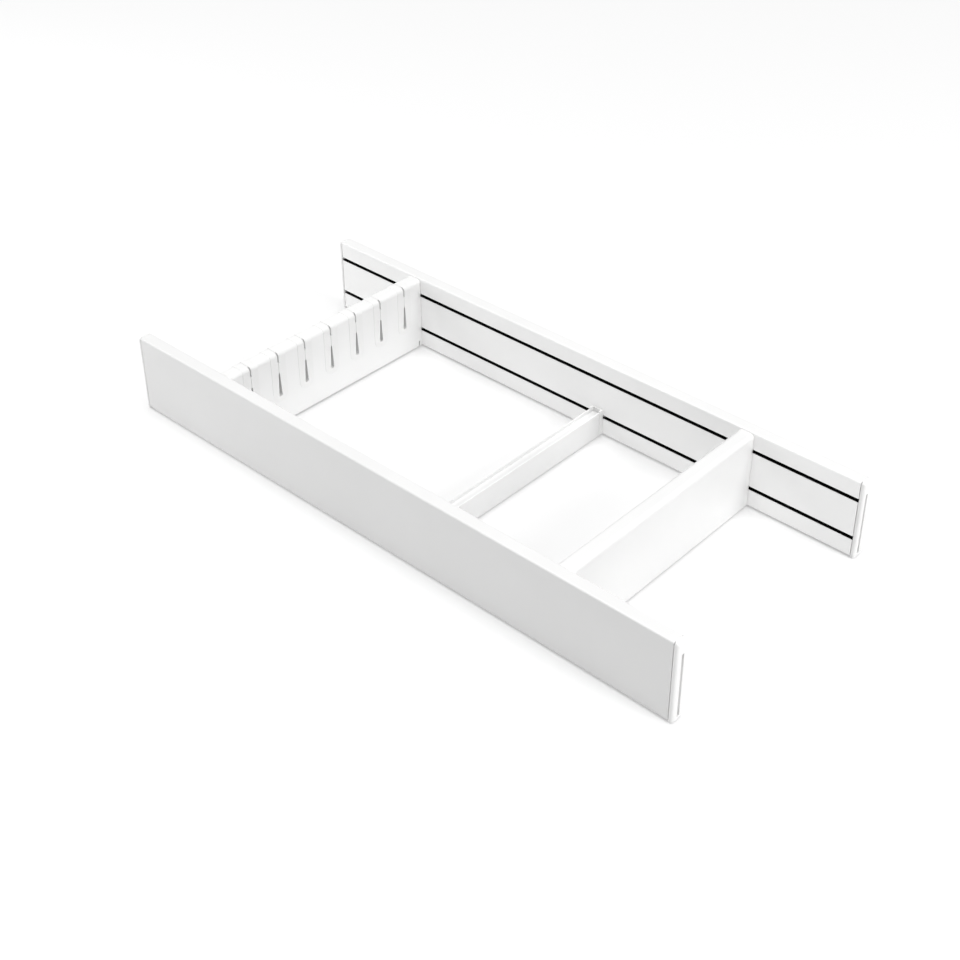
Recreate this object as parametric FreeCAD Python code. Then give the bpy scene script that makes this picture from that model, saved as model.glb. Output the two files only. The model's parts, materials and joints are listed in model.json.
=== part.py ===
import FreeCAD, Part
import math
import os

# Drawer organizer insert: two grooved side profiles with moulded end caps, and three cross
# dividers that hook into the grooves of the profiles and slide along them. The first divider
# is a comb with seven slots, each lined by a soft grip.
# Millimetres. X runs along the profiles, Y across the insert, Z up. The origin is the middle
# of the footprint, on the surface that the feet of the end caps stand on.

# ---- driving dimensions ---------------------------------------------------------------
LENGTH = 470.0               # over the end caps
WIDTH = 201.0                # over both profiles
PROFILE_HEIGHT = 58.0
PROFILE_THICKNESS = 9.2
CAP_THICKNESS = 3.2
FOOT_DROP = 1.5              # how far the end caps reach below the profiles

# side profile: a hollow extrusion with two undercut grooves in its inner face
PROFILE_WALL = 1.2
FACE_WALL = 1.4              # the wall that the grooves open through
PROFILE_EDGE_RADIUS = 1.2
GROOVE_INSET = 14.3          # groove centre from the top edge, and from the bottom edge
GROOVE_MOUTH = 2.9
GROOVE_CHAMBER = 6.2
LINING = 0.4                 # wall of the black glide strip in each groove

# end cap
CAP_SEAM_WIDTH = 0.45        # rebate that leaves a fine dark line between cap and profile
CAP_SEAM_DEPTH = 1.6
CAP_SEAM_TOP_DEPTH = 0.2     # the rebate is shallow on top
CAP_EDGE_RADIUS = 1.9        # a little more than the rim's, so that the rim rolls round it
CAP_RIM_RADIUS = 1.8
CAP_SLOT_WIDTH = 2.1
CAP_SLOT_DEPTH = 2.2
CAP_SLOT_LOW = 1.5           # above the bottom edge of the profile
CAP_SLOT_HIGH = 48.3
CAP_SLOT_SHIFT = 0.6         # from the middle of the cap towards the inside of the insert
CAP_POCKET_HEIGHT = 3.0      # the slot is deeper over this height at its foot
CAP_POCKET_DEPTH = 7.0
TONGUE_LENGTH = 6.5
TONGUE_PLAY = 0.1

# cross dividers
DIVIDER_HEIGHT = 57.0
DIVIDER_THICKNESS = 12.0
DIVIDER_TOP_RADIUS = 3.0
DIVIDER_FOOT_RADIUS = 0.8
DIVIDER_WALL = 1.6
LOW_HEIGHT = 19.4
LOW_THICKNESS = 8.8
LOW_EDGE_RADIUS = 0.4
LOW_RIM_WIDTH = 1.1
LOW_CHANNEL_DEPTH = 2.5
COMB_X = -152.5
LOW_X = 26.1
TALL_X = 147.5

# slots of the comb divider, each lined by a U-shaped soft grip
SLOT_COUNT = 7
SLOT_PITCH = 24.55
SLOT_FLOOR = 22.0            # bottom of a slot above the underside of the divider
SLOT_TOP_WIDTH = 1.2
SLOT_FOOT_WIDTH = 3.0
SLOT_RECESS_DEPTH = 2.2      # the upper part of a slot is a recess in each face of the comb
PINCH_HIGH = 49.5            # lower end of that recess
PINCH_LOW = 40.5             # above this the lips of a grip close to a slit
PINCH_GAP = 0.2              # the slit
PINCH_RAMP = 0.7
GRIP_WIDTH = 13.2
GRIP_BELOW_SLOT = 4.4
GRIP_RIM = 1.2               # how far the rim of a grip laps over the comb all round
GRIP_PROUD = 0.2             # thickness of that rim

# end connectors
CONNECTOR_THICKNESS = 3.4
FACE_GAP = 0.3               # connector to profile face
LOW_CONNECTOR_PROUD = 0.35   # the low connectors stand proud of their divider at the sides
LOW_CONNECTOR_RISE = 0.9     # and above it
LOW_CONNECTOR_RIM = 1.0      # behind the recess that carries the channel on over a connector
# notch in the foot of a connector: distance from the end of the divider, width, height
COMB_NOTCH = (0.3, 1.0, 5.0)
TALL_NOTCH = (0.2, 0.8, 1.0)
LOW_NOTCH = (0.0, CONNECTOR_THICKNESS, 0.8)     # the low ones are raised over their whole width
HOOK_LENGTH = 8.0
HOOK_NECK = 1.5
HOOK_HEAD_HEIGHT = 4.4
HOOK_HEAD_DEPTH = 1.8
HOOK_HEAD_PLAY = 0.5         # hook head behind the lined face wall

# ---- derived --------------------------------------------------------------------------
PROFILE_HALF_LENGTH = LENGTH / 2 - CAP_THICKNESS
OUTER_Y = WIDTH / 2
INNER_Y = OUTER_Y - PROFILE_THICKNESS
PROFILE_LOW = FOOT_DROP
PROFILE_HIGH = FOOT_DROP + PROFILE_HEIGHT
GROOVES = {"upper": PROFILE_HIGH - GROOVE_INSET, "lower": PROFILE_LOW + GROOVE_INSET}
CHAMBER_START = INNER_Y + FACE_WALL
CHAMBER_END = OUTER_Y - PROFILE_WALL
BODY_END = INNER_Y - FACE_GAP - CONNECTOR_THICKNESS
OVERSHOOT = 1.0              # cutting tools run this far past the faces they open
LEAST_RADIUS = 0.1           # keeps a flat between two arcs that would otherwise meet
SAME_PLACE = 1e-6            # points closer than this lie on one plane

X_AXIS = FreeCAD.Vector(1, 0, 0)
Y_AXIS = FreeCAD.Vector(0, 1, 0)
ORIGIN = FreeCAD.Vector(0, 0, 0)


# ---- shape helpers --------------------------------------------------------------------
def box(x0, x1, y0, y1, z0, z1):
    """A block between two corners."""
    return Part.makeBox(x1 - x0, y1 - y0, z1 - z0, FreeCAD.Vector(x0, y0, z0))


def bar_along_x(x0, x1, y0, y1, z0, z1, low_radius, high_radius):
    """A long block along X with rounded lower and upper edges."""
    return rounded_bar(lambda u, v: FreeCAD.Vector(x0, u, v), X_AXIS * (x1 - x0),
                       y0, y1, z0, z1, low_radius, high_radius)


def bar_along_y(x0, x1, y0, y1, z0, z1, low_radius, high_radius):
    """A long block along Y with rounded lower and upper edges."""
    return rounded_bar(lambda u, v: FreeCAD.Vector(u, y0, v), Y_AXIS * (y1 - y0),
                       x0, x1, z0, z1, low_radius, high_radius)


def rounded_bar(place, sweep, u0, u1, v0, v1, low_radius, high_radius):
    """Extrude a rounded upright rectangle; place(u, v) puts a section point in space."""
    corners = [(u1 - high_radius, v1 - high_radius, high_radius, 0.0),
               (u0 + high_radius, v1 - high_radius, high_radius, 90.0),
               (u0 + low_radius, v0 + low_radius, low_radius, 180.0),
               (u1 - low_radius, v0 + low_radius, low_radius, 270.0)]
    arcs = [corner_arc(place, *corner) for corner in corners]
    edges = []
    for here, following in zip(arcs, arcs[1:] + arcs[:1]):
        edges.append(here)
        edges.append(Part.makeLine(here.Vertexes[-1].Point, following.Vertexes[0].Point))
    return Part.Face(Part.Wire(edges)).extrude(sweep)


def corner_arc(place, u, v, radius, start):
    """A quarter circle about (u, v) from start degrees."""
    points = []
    for angle in (start, start + 45.0, start + 90.0):
        turn = math.radians(angle)
        points.append(place(u + radius * math.cos(turn), v + radius * math.sin(turn)))
    return Part.Arc(*points).toShape()


def mirrored(shape, axis):
    """The same piece on the other side of the insert."""
    return shape.mirror(ORIGIN, axis)


def edges_on(shape, test):
    """Edges whose two ends both pass a test."""
    return [edge for edge in shape.Edges if all(test(vertex.Point) for vertex in edge.Vertexes)]


# ---- side profiles --------------------------------------------------------------------
def back_profile():
    """Hollow extrusion: two undercut grooves, and three closed chambers around them."""
    outside = bar_along_x(-PROFILE_HALF_LENGTH, PROFILE_HALF_LENGTH, INNER_Y, OUTER_Y,
                          PROFILE_LOW, PROFILE_HIGH, PROFILE_EDGE_RADIUS, PROFILE_EDGE_RADIUS)
    cuts = [long_cut(CHAMBER_START, CHAMBER_END, low, high) for low, high in chambers()]
    for centre in GROOVES.values():
        cuts.append(long_cut(CHAMBER_START, CHAMBER_END,
                             centre - GROOVE_CHAMBER / 2, centre + GROOVE_CHAMBER / 2))
        cuts.append(long_cut(INNER_Y - OVERSHOOT, CHAMBER_START,
                             centre - GROOVE_MOUTH / 2, centre + GROOVE_MOUTH / 2))
    return outside.cut(cuts)


def chambers():
    """Lower and upper ends of the closed chambers, from the bottom one to the top one."""
    web = GROOVE_CHAMBER / 2 + PROFILE_WALL
    return [(PROFILE_LOW + FACE_WALL, GROOVES["lower"] - web),
            (GROOVES["lower"] + web, GROOVES["upper"] - web),
            (GROOVES["upper"] + web, PROFILE_HIGH - FACE_WALL)]


def long_cut(y0, y1, z0, z1):
    """A cutting block that runs out of both ends of a profile."""
    reach = PROFILE_HALF_LENGTH + OVERSHOOT
    return box(-reach, reach, y0, y1, z0, z1)


def back_glide_strip(centre):
    """Black lining of one groove, open where the hooks pass through the groove's mouth."""
    half = GROOVE_CHAMBER / 2
    mouth = GROOVE_MOUTH / 2
    length = PROFILE_HALF_LENGTH
    outside = box(-length, length, CHAMBER_START, CHAMBER_END, centre - half, centre + half)
    lips = box(-length, length, INNER_Y + LINING, CHAMBER_START, centre - mouth, centre + mouth)
    inside = long_cut(CHAMBER_START + LINING, CHAMBER_END - LINING,
                      centre - half + LINING, centre + half - LINING)
    gap = long_cut(INNER_Y - OVERSHOOT, CHAMBER_START + LINING + OVERSHOOT,
                   centre - mouth + LINING, centre + mouth - LINING)
    return outside.fuse(lips).removeSplitter().cut([inside, gap])


def back_right_cap():
    """Moulded end cap: a plate with a foot, a blind slot with a deep foot, and three tongues."""
    x0 = PROFILE_HALF_LENGTH
    x1 = LENGTH / 2
    plate = bar_along_x(x0 + CAP_SEAM_WIDTH, x1, INNER_Y, OUTER_Y, 0.0, PROFILE_HIGH,
                        CAP_EDGE_RADIUS, CAP_EDGE_RADIUS)
    plate = plate.makeFillet(CAP_RIM_RADIUS, edges_on(plate, lambda p: abs(p.x - x1) < SAME_PLACE))
    additions = [box(x0, x0 + OVERSHOOT, INNER_Y + CAP_SEAM_DEPTH, OUTER_Y - CAP_SEAM_DEPTH,
                     PROFILE_LOW + CAP_SEAM_DEPTH, PROFILE_HIGH - CAP_SEAM_TOP_DEPTH)]
    for low, high in chambers():
        additions.append(box(x0 - TONGUE_LENGTH, x0 + OVERSHOOT,
                             CHAMBER_START + TONGUE_PLAY, CHAMBER_END - TONGUE_PLAY,
                             low + TONGUE_PLAY, high - TONGUE_PLAY))
    slot_middle = (INNER_Y + OUTER_Y) / 2 - CAP_SLOT_SHIFT
    slot_low = PROFILE_LOW + CAP_SLOT_LOW
    cuts = []
    for depth, high in ((CAP_SLOT_DEPTH, PROFILE_LOW + CAP_SLOT_HIGH),
                        (CAP_POCKET_DEPTH, slot_low + CAP_POCKET_HEIGHT)):
        cuts.append(bar_along_x(x1 - depth, x1 + OVERSHOOT,
                                slot_middle - CAP_SLOT_WIDTH / 2, slot_middle + CAP_SLOT_WIDTH / 2,
                                slot_low, high, CAP_SLOT_WIDTH / 4, CAP_SLOT_WIDTH / 4))
    return plate.fuse(additions).removeSplitter().cut(cuts)


# ---- dividers -------------------------------------------------------------------------
def comb_divider():
    """Moulded comb, hollow from below, cut out where the seven soft grips sit."""
    middles = slot_places()
    cuts = [grip_outline(y, GRIP_WIDTH / 2 - GRIP_RIM) for y in middles]
    return comb_bar(0.0).cut(cuts + comb_cavities(middles))


def comb_bar(swell):
    """The comb as a plain bar; swell makes its sides and top stand out further."""
    half = DIVIDER_THICKNESS / 2 + swell
    return bar_along_y(COMB_X - half, COMB_X + half, -BODY_END, BODY_END,
                       PROFILE_LOW, PROFILE_LOW + DIVIDER_HEIGHT + swell,
                       DIVIDER_FOOT_RADIUS, DIVIDER_TOP_RADIUS + swell)


def slot_places():
    """Y of the middle of each slot, from the front one to the back one."""
    middle = (SLOT_COUNT - 1) / 2
    return [(index - middle) * SLOT_PITCH for index in range(SLOT_COUNT)]


def grip_outline(y, half):
    """A block through the comb, round at its lower end about the centre of the grip's arc."""
    reach = DIVIDER_THICKNESS
    low = PROFILE_LOW + SLOT_FLOOR - GRIP_BELOW_SLOT + GRIP_WIDTH / 2 - half
    return bar_along_x(COMB_X - reach, COMB_X + reach, y - half, y + half,
                       low, PROFILE_HIGH + reach, half - LEAST_RADIUS, LEAST_RADIUS)


def slot_grip(y):
    """U-shaped soft grip: a core in the comb's cut-out, a rim over the comb, and the slot."""
    core = comb_bar(0.0).common(grip_outline(y, GRIP_WIDTH / 2 - GRIP_RIM))
    rim = comb_bar(GRIP_PROUD).common(grip_outline(y, GRIP_WIDTH / 2)).cut(comb_bar(0.0))
    return core.fuse(rim).removeSplitter().cut(comb_slot(y))


def comb_slot(y):
    """Upright slot: open at its round foot, a slit between soft lips above, recessed faces."""
    floor = PROFILE_LOW + SLOT_FLOOR
    top = PROFILE_LOW + DIVIDER_HEIGHT + OVERSHOOT
    foot = SLOT_FOOT_WIDTH / 2
    side = [(PINCH_GAP / 2, top),
            (PINCH_GAP / 2, PROFILE_LOW + PINCH_LOW + PINCH_RAMP),
            (SLOT_TOP_WIDTH / 2, PROFILE_LOW + PINCH_LOW),
            (foot, floor + foot)]
    x0 = COMB_X - DIVIDER_THICKNESS
    right = [FreeCAD.Vector(x0, y + u, v) for u, v in side]
    left = [FreeCAD.Vector(x0, y - u, v) for u, v in reversed(side)]
    bottom = Part.Arc(right[-1], FreeCAD.Vector(x0, y, floor), left[0]).toShape()
    wire = Part.Wire([Part.makePolygon(right), bottom, Part.makePolygon(left + right[:1])])
    cuts = [Part.Face(wire).extrude(X_AXIS * (2 * DIVIDER_THICKNESS))]
    inner = DIVIDER_THICKNESS / 2 - SLOT_RECESS_DEPTH
    for x1, x2 in ((inner, DIVIDER_THICKNESS), (-DIVIDER_THICKNESS, -inner)):
        cuts.append(box(COMB_X + x1, COMB_X + x2, y - SLOT_TOP_WIDTH / 2, y + SLOT_TOP_WIDTH / 2,
                        PROFILE_LOW + PINCH_HIGH, top))
    return cuts


def comb_cavities(middles):
    """Hollows of the comb, open below and at both ends: one per tooth, one under the slots."""
    half = DIVIDER_THICKNESS / 2 - DIVIDER_WALL
    grip_wall = GRIP_WIDTH / 2 - GRIP_RIM + DIVIDER_WALL
    reach = BODY_END + OVERSHOOT
    starts = [-reach] + [y + grip_wall for y in middles]
    ends = [y - grip_wall for y in middles] + [reach]
    high = PROFILE_LOW + DIVIDER_HEIGHT - DIVIDER_TOP_RADIUS
    low = PROFILE_LOW - OVERSHOOT
    cavities = [box(COMB_X - half, COMB_X + half, -reach, reach,
                    low, PROFILE_LOW + SLOT_FLOOR - GRIP_BELOW_SLOT)]
    for y0, y1 in zip(starts, ends):
        cavities.append(box(COMB_X - half, COMB_X + half, y0, y1, low, high))
    return cavities


def tall_divider():
    """Hollow extruded plate with a soft top edge, open at its ends for the connectors."""
    half = DIVIDER_THICKNESS / 2
    top = PROFILE_LOW + DIVIDER_HEIGHT
    body = bar_along_y(TALL_X - half, TALL_X + half, -BODY_END, BODY_END, PROFILE_LOW, top,
                       DIVIDER_FOOT_RADIUS, DIVIDER_TOP_RADIUS)
    reach = BODY_END + OVERSHOOT
    cuts = [box(TALL_X - half + DIVIDER_WALL, TALL_X + half - DIVIDER_WALL, -reach, reach, low, high)
            for low, high in tall_chambers()]
    return body.cut(cuts)


def tall_chambers():
    """The two long hollows of the tall divider, with one web between them."""
    low = PROFILE_LOW + DIVIDER_WALL
    high = PROFILE_LOW + DIVIDER_HEIGHT - DIVIDER_TOP_RADIUS
    middle = (low + high) / 2
    return [(low, middle - DIVIDER_WALL / 2), (middle + DIVIDER_WALL / 2, high)]


def low_divider():
    """Low extrusion: an open channel between two thin walls, above a closed hollow."""
    half = LOW_THICKNESS / 2
    top = PROFILE_LOW + LOW_HEIGHT
    body = bar_along_y(LOW_X - half, LOW_X + half, -BODY_END, BODY_END, PROFILE_LOW, top,
                       LOW_EDGE_RADIUS, LOW_EDGE_RADIUS)
    reach = BODY_END + OVERSHOOT
    channel = box(LOW_X - half + LOW_RIM_WIDTH, LOW_X + half - LOW_RIM_WIDTH, -reach, reach,
                  top - LOW_CHANNEL_DEPTH, top + OVERSHOOT)
    low, high = low_chamber()
    hollow = box(LOW_X - half + DIVIDER_WALL, LOW_X + half - DIVIDER_WALL, -reach, reach, low, high)
    return body.cut([channel, hollow])


def low_chamber():
    """Lower and upper ends of the low divider's hollow."""
    return (PROFILE_LOW + DIVIDER_WALL,
            PROFILE_LOW + LOW_HEIGHT - LOW_CHANNEL_DEPTH - DIVIDER_WALL)


# ---- connectors -----------------------------------------------------------------------
def back_connector(x, half, height, radii, foot_notch, grooves, tongues):
    """Moulded end piece of a divider: a plate, hooks in the grooves, tongues in the body."""
    y0 = BODY_END
    y1 = INNER_Y - FACE_GAP
    plate = bar_along_y(x - half, x + half, y0, y1, PROFILE_LOW, PROFILE_LOW + height, *radii)
    inset, notch_width, notch_height = foot_notch
    notch = box(x - half - OVERSHOOT, x + half + OVERSHOOT, y0 + inset, y0 + inset + notch_width,
                PROFILE_LOW - OVERSHOOT, PROFILE_LOW + notch_height)
    additions = []
    for groove in grooves:
        additions.extend(hook(x, y1, GROOVES[groove]))
    for tongue_half, low, high in tongues:
        additions.append(box(x - tongue_half + TONGUE_PLAY, x + tongue_half - TONGUE_PLAY,
                             y0 - TONGUE_LENGTH, y0 + OVERSHOOT,
                             low + TONGUE_PLAY, high - TONGUE_PLAY))
    return plate.cut(notch).fuse(additions).removeSplitter()


def hook(x, y, centre):
    """T-shaped hook: a thin neck through the groove's mouth and a head behind it."""
    head = CHAMBER_START + LINING + HOOK_HEAD_PLAY
    half = HOOK_LENGTH / 2
    neck = box(x - half, x + half, y - OVERSHOOT, head + OVERSHOOT,
               centre - HOOK_NECK / 2, centre + HOOK_NECK / 2)
    block = box(x - half, x + half, head, head + HOOK_HEAD_DEPTH,
                centre - HOOK_HEAD_HEIGHT / 2, centre + HOOK_HEAD_HEIGHT / 2)
    return [neck, block]


def comb_connector():
    tongue = (DIVIDER_THICKNESS / 2 - DIVIDER_WALL, PROFILE_LOW + COMB_NOTCH[-1],
              PROFILE_LOW + DIVIDER_HEIGHT - DIVIDER_TOP_RADIUS)
    return back_connector(COMB_X, DIVIDER_THICKNESS / 2, DIVIDER_HEIGHT,
                          (DIVIDER_FOOT_RADIUS, DIVIDER_TOP_RADIUS), COMB_NOTCH,
                          ("upper", "lower"), [tongue])


def tall_connector():
    inner = DIVIDER_THICKNESS / 2 - DIVIDER_WALL
    tongues = [(inner, low, high) for low, high in tall_chambers()]
    return back_connector(TALL_X, DIVIDER_THICKNESS / 2, DIVIDER_HEIGHT,
                          (DIVIDER_FOOT_RADIUS, DIVIDER_TOP_RADIUS), TALL_NOTCH,
                          ("upper", "lower"), tongues)


def low_connector():
    low, high = low_chamber()
    tongues = [(LOW_THICKNESS / 2 - DIVIDER_WALL, low, high)]
    connector = back_connector(LOW_X, LOW_THICKNESS / 2 + LOW_CONNECTOR_PROUD,
                               LOW_HEIGHT + LOW_CONNECTOR_RISE,
                               (LOW_EDGE_RADIUS, LOW_EDGE_RADIUS), LOW_NOTCH, ("lower",), tongues)
    half = LOW_THICKNESS / 2 - LOW_RIM_WIDTH
    floor = PROFILE_LOW + LOW_HEIGHT - LOW_CHANNEL_DEPTH
    recess = box(LOW_X - half, LOW_X + half, BODY_END - OVERSHOOT, INNER_Y - FACE_GAP - LOW_CONNECTOR_RIM,
                 floor, PROFILE_LOW + LOW_HEIGHT + LOW_CONNECTOR_RISE + OVERSHOOT)
    return connector.cut(recess)


# ---- the nodes ------------------------------------------------------------------------
def build_nodes():
    """Every separate piece of the insert, by name."""
    nodes = {"back_profile": back_profile()}
    nodes["front_profile"] = mirrored(nodes["back_profile"], Y_AXIS)
    for level, centre in GROOVES.items():
        strip = back_glide_strip(centre)
        nodes["back_" + level + "_glide_strip"] = strip
        nodes["front_" + level + "_glide_strip"] = mirrored(strip, Y_AXIS)
    cap = back_right_cap()
    nodes["back_right_end_cap"] = cap
    nodes["front_right_end_cap"] = mirrored(cap, Y_AXIS)
    nodes["back_left_end_cap"] = mirrored(cap, X_AXIS)
    nodes["front_left_end_cap"] = mirrored(mirrored(cap, X_AXIS), Y_AXIS)
    dividers = {"comb": (comb_divider, comb_connector),
                "low": (low_divider, low_connector),
                "tall": (tall_divider, tall_connector)}
    for name, (divider, connector) in dividers.items():
        end_piece = connector()
        nodes[name + "_divider"] = divider()
        nodes[name + "_back_connector"] = end_piece
        nodes[name + "_front_connector"] = mirrored(end_piece, Y_AXIS)
    for number, y in enumerate(slot_places(), start=1):
        nodes["slot_grip_" + str(number)] = slot_grip(y)
    return nodes


os.makedirs("parts", exist_ok=True)
for node, solid in build_nodes().items():
    solid.exportStep(os.path.join("parts", node + ".step"))
    box_size = solid.BoundBox
    print(node, solid.isValid(), len(solid.Solids), round(solid.Volume),
          [round(v, 2) for v in (box_size.XMin, box_size.XMax, box_size.YMin, box_size.YMax,
                                 box_size.ZMin, box_size.ZMax)])
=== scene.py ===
import json
import math

import bpy
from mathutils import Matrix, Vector

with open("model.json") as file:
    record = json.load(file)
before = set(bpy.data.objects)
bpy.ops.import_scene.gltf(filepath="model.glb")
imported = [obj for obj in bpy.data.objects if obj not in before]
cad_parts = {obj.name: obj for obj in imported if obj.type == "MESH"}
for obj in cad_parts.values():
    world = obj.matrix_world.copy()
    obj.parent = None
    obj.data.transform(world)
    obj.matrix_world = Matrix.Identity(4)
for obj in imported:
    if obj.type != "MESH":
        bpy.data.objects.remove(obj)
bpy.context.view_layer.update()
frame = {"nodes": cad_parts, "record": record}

# ---- sizes, in metres, and looks ----------------------------------------------------------
EDGE_SOFTNESS = {"profile": 0.00015, "end_cap": 0.00025, "divider": 0.00025,
                 "connector": 0.0003, "glide_strip": 0.00005, "slot_grip": 0.0003}
EDGE_SEGMENTS = 3
EDGE_ANGLE = math.radians(35.0)
WELD_DISTANCE = 1e-6
NOISE_LOW, NOISE_HIGH = 0.35, 0.65           # the range that most of a noise falls in
DRIFT_SCALE = 18.0                           # noise scales of the plastics
GLOSS_SCALE = 60.0
COAT_DRIFT_SCALE = 12.0                      # and of the powder coat
COAT_GLOSS_SCALE = 90.0
DRAW_LINE_SCALE = 900.0
DRAW_LINE_STRETCH = 400.0
DRAW_LINE_RELIEF = 0.00002
ORANGE_PEEL_SCALE = 1400.0
ORANGE_PEEL_RELIEF = 0.00006

FLOOR_REACH = 6.0
FLOOR_GREY = 0.63
FLOOR_GLOW = 0.25
WORLD_STRENGTH = 0.21

CAMERA_PLACE = (0.5765, -0.6227, 0.6300)
CAMERA_TURN = (57.13, -0.57, 41.26)          # degrees, XYZ Euler
CAMERA_LENS = 58.26                          # mm, on a 36 mm wide sensor
CAMERA_SHIFT = (-0.0469, -0.1099)


# ---- node trees -------------------------------------------------------------------------
def new_material(name):
    """A node material; returns it with its node tree and its shader."""
    material = bpy.data.materials.new(name)
    material.use_nodes = True
    tree = material.node_tree
    return material, tree, tree.nodes["Principled BSDF"]


def noise(tree, scale, detail, roughness=0.5, stretch=(1.0, 1.0, 1.0)):
    """Noise in object space; stretch lengthens it along an axis."""
    coords = tree.nodes.new("ShaderNodeTexCoord")
    mapping = tree.nodes.new("ShaderNodeMapping")
    mapping.inputs["Scale"].default_value = tuple(1.0 / s for s in stretch)
    texture = tree.nodes.new("ShaderNodeTexNoise")
    texture.inputs["Scale"].default_value = scale
    texture.inputs["Detail"].default_value = detail
    texture.inputs["Roughness"].default_value = roughness
    tree.links.new(coords.outputs["Object"], mapping.inputs["Vector"])
    tree.links.new(mapping.outputs["Vector"], texture.inputs["Vector"])
    return texture.outputs["Fac"]


def ramp(tree, value, low, high):
    """Spread a noise between two values."""
    node = tree.nodes.new("ShaderNodeMapRange")
    node.inputs["From Min"].default_value = NOISE_LOW
    node.inputs["From Max"].default_value = NOISE_HIGH
    node.inputs["To Min"].default_value = low
    node.inputs["To Max"].default_value = high
    tree.links.new(value, node.inputs["Value"])
    return node.outputs["Result"]


def tint(tree, value, dark, light):
    """Mix two colours by a value."""
    node = tree.nodes.new("ShaderNodeMix")
    node.data_type = "RGBA"
    node.inputs["A"].default_value = (*dark, 1.0)
    node.inputs["B"].default_value = (*light, 1.0)
    tree.links.new(ramp(tree, value, 0.0, 1.0), node.inputs["Factor"])
    return node.outputs["Result"]


def bump(tree, height, distance, under=None):
    """Bump a shader from a height; under is a bump to lay it over."""
    node = tree.nodes.new("ShaderNodeBump")
    node.inputs["Distance"].default_value = distance
    node.inputs["Strength"].default_value = 1.0
    tree.links.new(height, node.inputs["Height"])
    if under is not None:
        tree.links.new(under, node.inputs["Normal"])
    return node.outputs["Normal"]


def plastic(name, dark, light, gloss, grain, relief, stretch=(1.0, 1.0, 1.0), specular=0.5):
    """Moulded or extruded plastic: a fine surface grain, uneven gloss and a faint tone drift."""
    material, tree, shader = new_material(name)
    shader.inputs["Specular IOR Level"].default_value = specular
    drift = noise(tree, DRIFT_SCALE, 2.0, stretch=stretch)
    tree.links.new(tint(tree, drift, dark, light), shader.inputs["Base Color"])
    patches = noise(tree, GLOSS_SCALE, 4.0, 0.6, stretch)
    tree.links.new(ramp(tree, patches, *gloss), shader.inputs["Roughness"])
    fine = noise(tree, grain, 3.0, 0.6, stretch)
    tree.links.new(bump(tree, fine, relief), shader.inputs["Normal"])
    return material


def powder_coat():
    """White powder coat on the extruded profiles: orange peel over long faint draw lines."""
    material, tree, shader = new_material("white_powder_coat")
    drift = noise(tree, COAT_DRIFT_SCALE, 2.0)
    tree.links.new(tint(tree, drift, (0.765, 0.765, 0.762), (0.785, 0.785, 0.782)),
                   shader.inputs["Base Color"])
    patches = noise(tree, COAT_GLOSS_SCALE, 4.0, 0.6)
    tree.links.new(ramp(tree, patches, 0.42, 0.52), shader.inputs["Roughness"])
    draw_lines = noise(tree, DRAW_LINE_SCALE, 1.0, stretch=(DRAW_LINE_STRETCH, 1.0, 1.0))
    lines = bump(tree, draw_lines, DRAW_LINE_RELIEF)
    peel = noise(tree, ORANGE_PEEL_SCALE, 2.0)
    tree.links.new(bump(tree, peel, ORANGE_PEEL_RELIEF, under=lines), shader.inputs["Normal"])
    return material


MATERIALS = {
    "profile": powder_coat(),
    "glide_strip": plastic("black_glide_strip", (0.002, 0.002, 0.002), (0.005, 0.005, 0.005),
                           (0.7, 0.85), 1500.0, 0.00003, (60.0, 1.0, 1.0), specular=0.1),
    "end_cap": plastic("white_cap_moulding", (0.84, 0.84, 0.835), (0.86, 0.86, 0.855),
                       (0.4, 0.5), 3500.0, 0.00004),
    "connector": plastic("white_connector_moulding", (0.82, 0.82, 0.815), (0.84, 0.84, 0.835),
                         (0.28, 0.38), 2500.0, 0.00002),
    "divider": plastic("white_divider_plastic", (0.79, 0.79, 0.788), (0.81, 0.81, 0.808),
                       (0.36, 0.46), 3000.0, 0.00003),
    "comb": plastic("white_comb_plastic", (0.82, 0.82, 0.818), (0.84, 0.84, 0.838),
                    (0.36, 0.46), 3000.0, 0.00003),
    "slot_grip": plastic("soft_grip_plastic", (0.8, 0.8, 0.796), (0.82, 0.82, 0.816),
                         (0.5, 0.6), 2500.0, 0.00003),
}


def dress(node, slot):
    """Give a CAD node its material and softened edges."""
    piece = frame["nodes"][node]
    look = "comb" if node == "comb_divider" else slot
    for index in range(len(piece.material_slots)):
        piece.material_slots[index].material = MATERIALS[look]
    weld = piece.modifiers.new("weld", "WELD")
    weld.merge_threshold = WELD_DISTANCE
    soften = piece.modifiers.new("soft_edges", "BEVEL")
    soften.width = EDGE_SOFTNESS[slot]
    soften.segments = EDGE_SEGMENTS
    soften.limit_method = "ANGLE"
    soften.angle_limit = EDGE_ANGLE
    soften.harden_normals = True


for part in frame["record"]["subparts"]:
    dress(part["node"], part["material_slot"])


# ---- floor, light and camera ------------------------------------------------------------
def make_floor(glow):
    """A plain pale floor, larger than the view, that gives off a little light of its own."""
    mesh = bpy.data.meshes.new("floor")
    corners = [(x * FLOOR_REACH, y * FLOOR_REACH, 0.0)
               for x, y in ((-1, -1), (1, -1), (1, 1), (-1, 1))]
    mesh.from_pydata(corners, [], [(0, 1, 2, 3)])
    floor = bpy.data.objects.new("floor", mesh)
    bpy.context.scene.collection.objects.link(floor)
    material, _, shader = new_material("pale_floor")
    shader.inputs["Base Color"].default_value = (FLOOR_GREY, FLOOR_GREY, FLOOR_GREY, 1.0)
    shader.inputs["Roughness"].default_value = 0.9
    shader.inputs["Specular IOR Level"].default_value = 0.1
    shader.inputs["Emission Color"].default_value = (1.0, 1.0, 1.0, 1.0)
    shader.inputs["Emission Strength"].default_value = glow
    mesh.materials.append(material)


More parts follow.
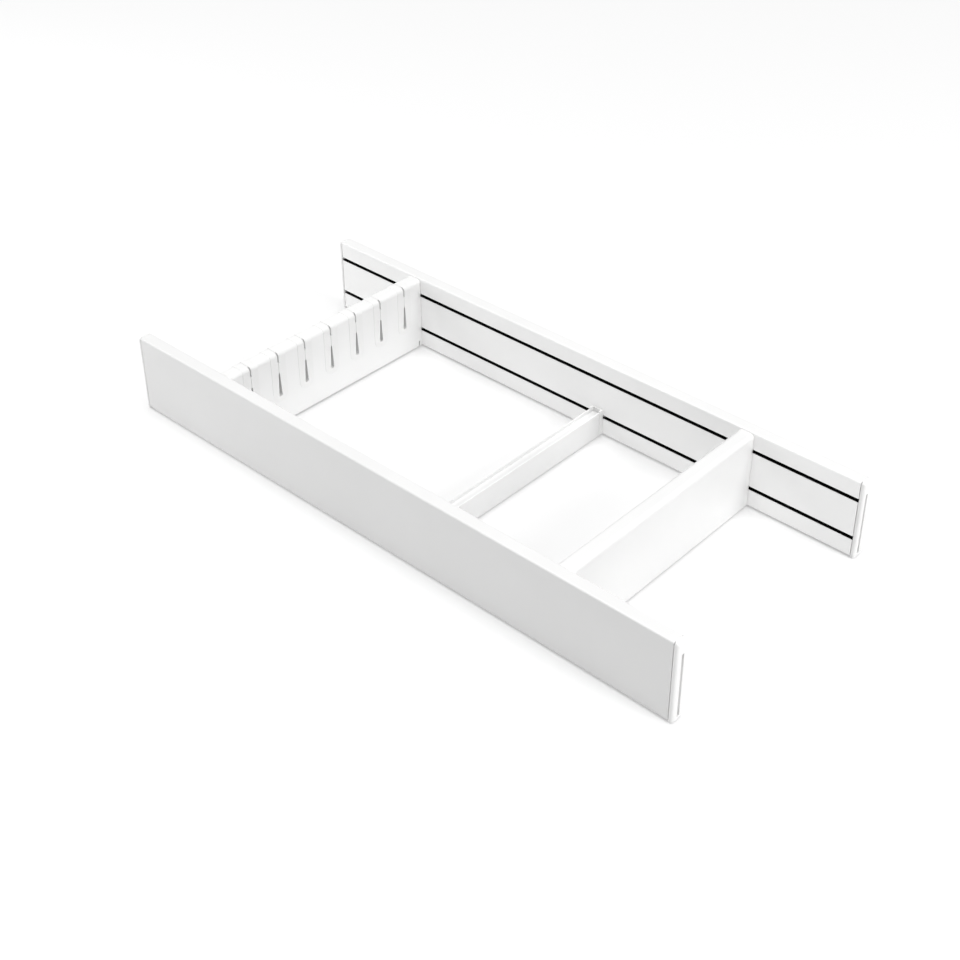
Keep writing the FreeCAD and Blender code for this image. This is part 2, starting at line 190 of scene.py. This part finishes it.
def soft_sun(name, place, strength, spread):
    """Distant soft light that shines from the direction of a place; spread in degrees."""
    lamp = bpy.data.lights.new(name, "SUN")
    lamp.energy = strength
    lamp.angle = math.radians(spread)
    light = bpy.data.objects.new(name, lamp)
    light.location = place
    light.rotation_euler = (-Vector(place)).to_track_quat("-Z", "Y").to_euler()
    bpy.context.scene.collection.objects.link(light)


def soft_box(name, place, target, size, power):
    """A large square soft light that faces a point."""
    lamp = bpy.data.lights.new(name, "AREA")
    lamp.shape = "SQUARE"
    lamp.size = size
    lamp.energy = power
    light = bpy.data.objects.new(name, lamp)
    light.location = place
    light.rotation_euler = (Vector(target) - Vector(place)).to_track_quat("-Z", "Y").to_euler()
    bpy.context.scene.collection.objects.link(light)
    return light


def only_on(light, nodes):
    """Let a light fall on some nodes only; the other nodes don't shade them from it."""
    lit = bpy.data.collections.new(light.name + "_lit")
    for node in nodes:
        lit.objects.link(frame["nodes"][node])
    light.light_linking.receiver_collection = lit
    light.light_linking.blocker_collection = lit


def make_world(strength):
    """Even white light from all round."""
    world = bpy.data.worlds.new("studio")
    world.use_nodes = True
    background = world.node_tree.nodes["Background"]
    background.inputs["Color"].default_value = (1.0, 1.0, 1.0, 1.0)
    background.inputs["Strength"].default_value = strength
    bpy.context.scene.world = world


def make_camera():
    """The camera, without depth of field."""
    camera = bpy.data.cameras.new("camera")
    camera.lens = CAMERA_LENS
    camera.shift_x, camera.shift_y = CAMERA_SHIFT
    holder = bpy.data.objects.new("camera", camera)
    holder.location = CAMERA_PLACE
    holder.rotation_euler = tuple(math.radians(turn) for turn in CAMERA_TURN)
    bpy.context.scene.collection.objects.link(holder)
    bpy.context.scene.camera = holder


make_floor(FLOOR_GLOW)
make_world(WORLD_STRENGTH)
soft_sun("overhead", (0.0, 0.0, 1.0), 2.45, 42.0)
soft_box("right_key", (1.9, 0.1, 1.0), (0.0, 0.0, 0.0), 0.9, 21.6)
soft_box("front_left", (-0.9, -0.55, 0.35), (-0.1, 0.0, 0.0), 0.6, 3.8)
back_rail_fill = soft_box("back_rail_fill", (0.0, -1.6, 0.3), (0.0, 0.0, 0.0), 1.2, 8.5)
only_on(back_rail_fill, ["back_profile"])
make_camera()
bpy.context.scene.view_settings.view_transform = "Standard"
bpy.context.scene.view_settings.look = "None"
